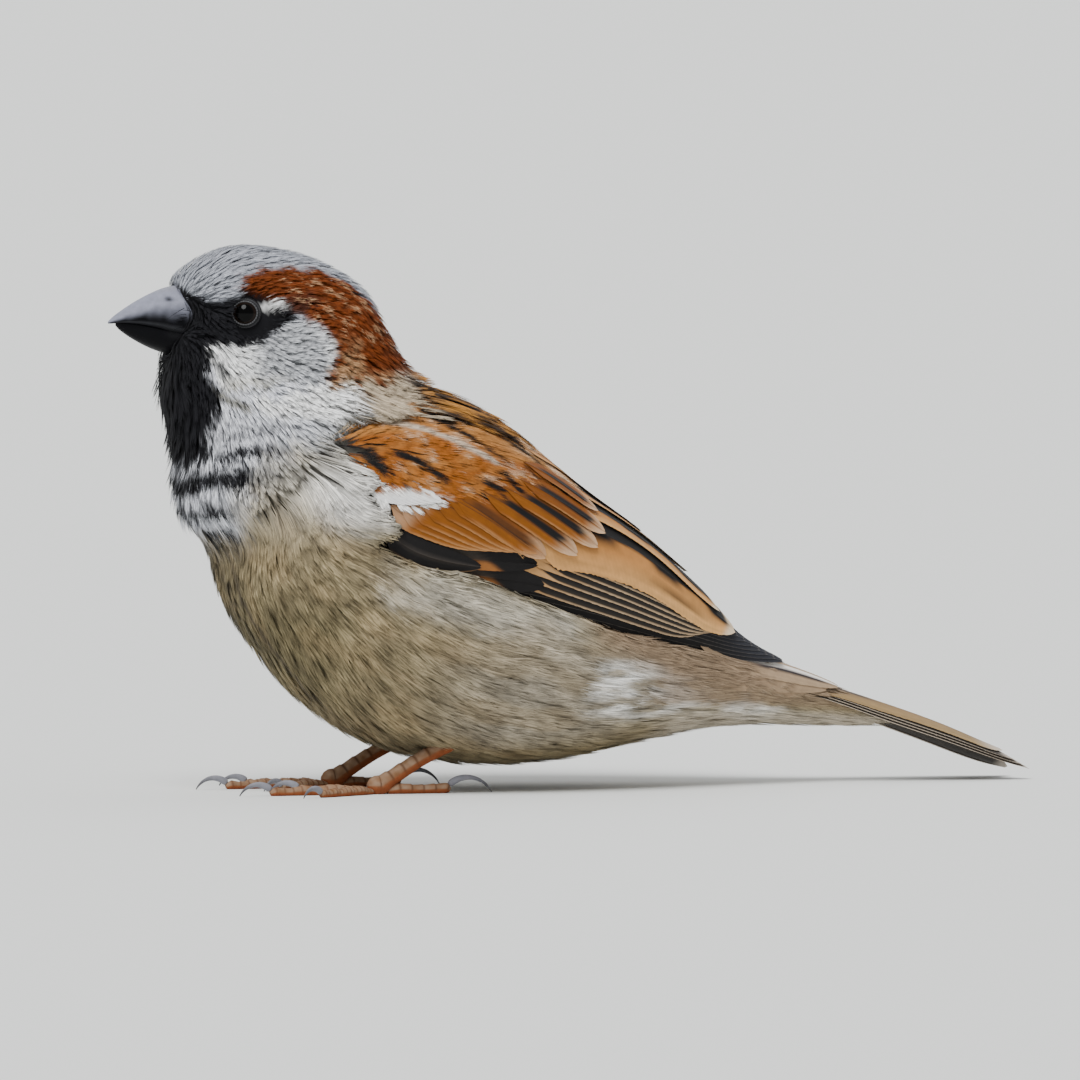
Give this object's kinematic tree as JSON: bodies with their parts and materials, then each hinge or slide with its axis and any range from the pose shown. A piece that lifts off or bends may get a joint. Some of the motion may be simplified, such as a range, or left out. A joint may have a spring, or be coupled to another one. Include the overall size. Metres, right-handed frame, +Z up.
{
  "type": "house sparrow",
  "caption": "Life-size still model of a male house sparrow, crouched on both feet with closed wings, its head up and its tail held low behind.",
  "frame": {"origin": "centre of the bounding box's underside, on the floor that the toes stand on", "axes": "+Z up; +Y along the body towards the tail, so the bird faces -Y; +X to the bird's left"},
  "size_m": [0.0434, 0.1256, 0.0717],
  "materials": {
    "head_plumage": "soft matt feathers: grey crown, chestnut sides and nape, pale cheeks, black mask and bib",
    "body_plumage": "soft matt feathers: greyish buff with fine hair-like strands, mantle chestnut streaked with black",
    "wing_feathers": "close smooth vanes with a slight sheen: chestnut and buff edges round black centres, one white bar",
    "tail_feathers": "close smooth vanes with a slight sheen: dark brown with buff edges",
    "bill": "smooth horn with a satin sheen, blue-grey along the top",
    "eye": "wet, glossy, nearly black",
    "leg_scales": "pinkish brown scales, satin",
    "claw": "grey horn, satin"
  },
  "bodies": {
    "root": {"head": "head_plumage", "neck": "head_plumage", "trunk": "body_plumage", "tail_coverts": "body_plumage", "tail": "tail_feathers", "bill_upper": "bill", "bill_lower": "bill", "eye_left": "eye", "wing_left_coverts": "wing_feathers", "wing_left_flight": "wing_feathers", "thigh_left": "body_plumage", "tarsus_left": "leg_scales", "toe_left_hind": "leg_scales", "claw_left_hind": "claw", "toe_left_inner": "leg_scales", "claw_left_inner": "claw", "toe_left_middle": "leg_scales", "claw_left_middle": "claw", "toe_left_outer": "leg_scales", "claw_left_outer": "claw", "eye_right": "eye", "wing_right_coverts": "wing_feathers", "wing_right_flight": "wing_feathers", "thigh_right": "body_plumage", "tarsus_right": "leg_scales", "toe_right_hind": "leg_scales", "claw_right_hind": "claw", "toe_right_inner": "leg_scales", "claw_right_inner": "claw", "toe_right_middle": "leg_scales", "claw_right_middle": "claw", "toe_right_outer": "leg_scales", "claw_right_outer": "claw"}
  },
  "joints": []
}
